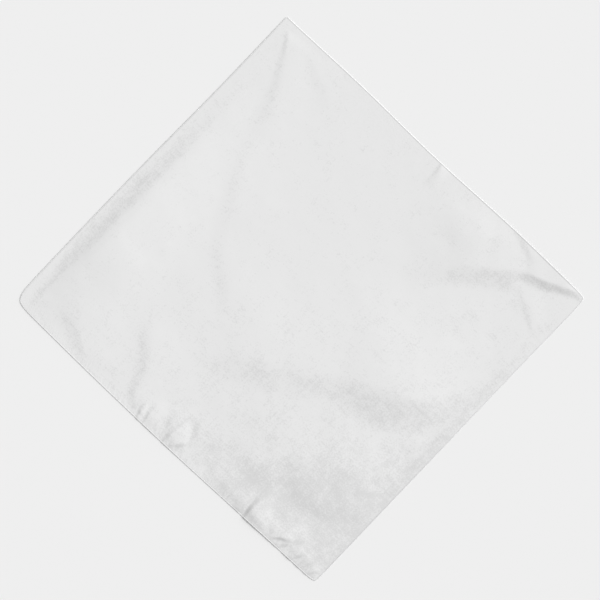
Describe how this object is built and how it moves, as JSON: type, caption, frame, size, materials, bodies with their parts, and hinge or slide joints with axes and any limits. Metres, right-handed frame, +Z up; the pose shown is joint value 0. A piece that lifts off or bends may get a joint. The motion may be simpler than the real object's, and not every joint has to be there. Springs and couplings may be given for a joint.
{
  "type": "bandana",
  "caption": "Square white cotton bandana laid open flat with one corner up, one layer thick, with a narrow rolled hem, low soft swells and short tucks along its sides.",
  "frame": {"origin": "on the table, under the middle of the cloth's box", "axes": "+X towards the right corner, +Y towards the top corner, +Z up, away from the table"},
  "size_m": [0.777, 0.777, 0.0061],
  "materials": {
    "white_cotton": "matte plain weave"
  },
  "bodies": {
    "root": {"bandana_cloth": "white_cotton"}
  },
  "joints": []
}
